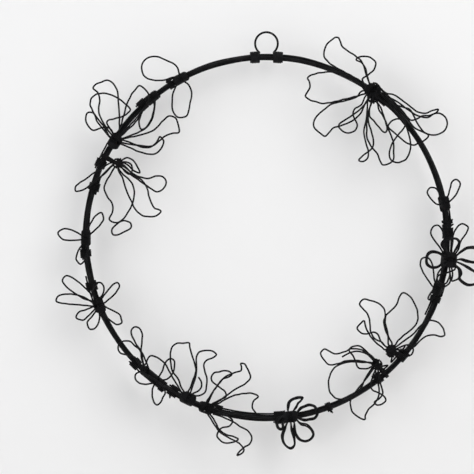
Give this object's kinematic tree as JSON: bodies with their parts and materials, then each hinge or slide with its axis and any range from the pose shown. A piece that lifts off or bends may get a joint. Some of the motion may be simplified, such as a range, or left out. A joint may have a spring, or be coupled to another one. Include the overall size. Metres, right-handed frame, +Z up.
{
  "type": "wreath frame",
  "caption": "Round ring of bundled black wire with bent-wire flowers and leaf sprays bound on, hung by a wire loop wrapped round its top.",
  "frame": {"origin": "inside the top of the hanging loop, where the nail or hook bears", "axes": "+Z up, -Y towards the room (the flowers' side), +Y towards the wall, +X to the right seen from the front"},
  "size_m": [0.2976, 0.0268, 0.2937],
  "materials": {
    "ring_wire": "satin black",
    "flower_wire": "satin black",
    "binding_wire": "matt black",
    "hanger_wire": "satin black"
  },
  "bodies": {
    "frame": {"ring_strand_1": "ring_wire", "ring_strand_2": "ring_wire", "ring_strand_3": "ring_wire", "ring_strand_4": "ring_wire", "ring_ties": "binding_wire", "flower_1_petals": "flower_wire", "flower_1_knot": "binding_wire", "flower_1_stem": "flower_wire", "flower_1_lashing": "binding_wire", "flower_2_petals": "flower_wire", "flower_2_knot": "binding_wire", "flower_2_stem": "flower_wire", "flower_2_lashing": "binding_wire", "flower_3_petals": "flower_wire", "flower_3_knot": "binding_wire", "flower_3_stem": "flower_wire", "flower_3_lashing": "binding_wire", "flower_4_petals": "flower_wire", "flower_4_knot": "binding_wire", "flower_4_stem": "flower_wire", "flower_4_lashing": "binding_wire", "flower_5_petals": "flower_wire", "flower_5_knot": "binding_wire", "flower_5_stem": "flower_wire", "flower_5_lashing": "binding_wire", "flower_6_petals": "flower_wire", "flower_6_knot": "binding_wire", "flower_6_stem": "flower_wire", "flower_6_lashing": "binding_wire", "flower_7_petals": "flower_wire", "flower_7_knot": "binding_wire", "flower_7_stem": "flower_wire", "flower_7_lashing": "binding_wire", "flower_8_petals": "flower_wire", "flower_8_knot": "binding_wire", "flower_8_stem": "flower_wire", "flower_8_lashing": "binding_wire", "flower_9_petals": "flower_wire", "flower_9_knot": "binding_wire", "flower_9_stem": "flower_wire", "flower_9_lashing": "binding_wire", "flower_10_petals": "flower_wire", "flower_10_knot": "binding_wire", "flower_10_stem": "flower_wire", "flower_10_lashing": "binding_wire", "spray_right_leaves": "flower_wire", "spray_right_knots": "binding_wire", "spray_right_stems": "flower_wire", "spray_lower_left_leaves": "flower_wire", "spray_lower_left_knots": "binding_wire", "spray_lower_left_stems": "flower_wire", "spray_left_leaves": "flower_wire", "spray_left_knots": "binding_wire", "spray_left_stems": "flower_wire", "spray_upper_left_leaves": "flower_wire", "spray_upper_left_knots": "binding_wire", "spray_upper_left_stems": "flower_wire", "spray_lashings": "binding_wire"},
    "hanger": {"hanging_loop": "hanger_wire"}
  },
  "joints": [
    {"name": "hanger_swing", "type": "hinge", "parent": "frame", "child": "hanger", "pos_m": [0, 0, -0.01679], "axis": [1, 0, 0], "range_deg": [-80, 80]}
  ]
}
